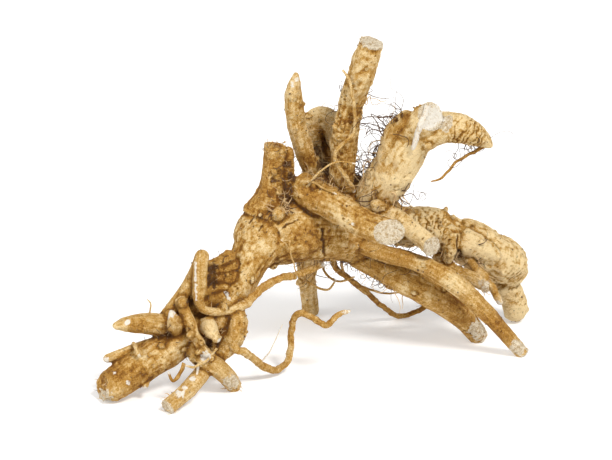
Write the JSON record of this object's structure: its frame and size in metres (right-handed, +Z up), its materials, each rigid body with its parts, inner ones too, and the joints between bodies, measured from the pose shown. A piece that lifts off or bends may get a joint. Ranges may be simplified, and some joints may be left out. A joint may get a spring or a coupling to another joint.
{
  "type": "horseradish root",
  "caption": "Clump of horseradish root: a thick arching stock that stands on its cut side roots, with stubs pointing up and wiry rootlets looping below.",
  "frame": {"origin": "on the surface that the clump stands on, under the middle of its bounding box", "axes": "+X along the length, from the stout left foot to the thick right-hand root; +Y to the back; +Z up"},
  "size_m": [0.3236, 0.2119, 0.2503],
  "materials": {
    "bark": "matt tan root skin with pale cut ends"
  },
  "bodies": {
    "root": {"horseradish_root": "bark"}
  },
  "joints": []
}
